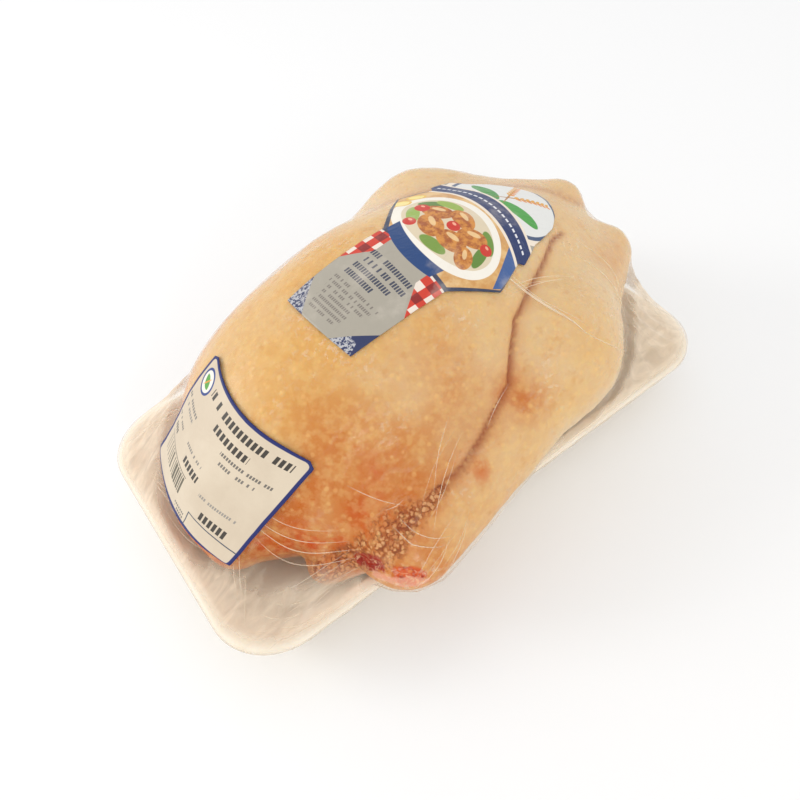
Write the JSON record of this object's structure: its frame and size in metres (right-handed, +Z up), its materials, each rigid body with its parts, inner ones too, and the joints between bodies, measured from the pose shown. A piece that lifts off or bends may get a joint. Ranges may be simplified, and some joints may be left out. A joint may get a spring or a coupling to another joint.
{
  "type": "whole raw chicken in a film-wrapped tray",
  "caption": "Whole raw young chicken lying breast up on a white foam tray, under tight clear stretch film with a product label and a price label.",
  "frame": {"origin": "middle of the tray's flat underside", "axes": "+Z up, +X along the tray from the bird's neck end to its tail end, +Y to the bird's own left side"},
  "size_m": [0.212, 0.1378, 0.0913],
  "materials": {
    "foam": "smooth closed-cell foam",
    "wrapped_skin": "clear stretch film over pale skin",
    "product_print": "printed film label",
    "price_print": "thermal paper label"
  },
  "bodies": {
    "root": {"tray": "foam", "film_wrapped_chicken": "wrapped_skin", "product_label": "product_print", "price_label": "price_print"}
  },
  "joints": []
}
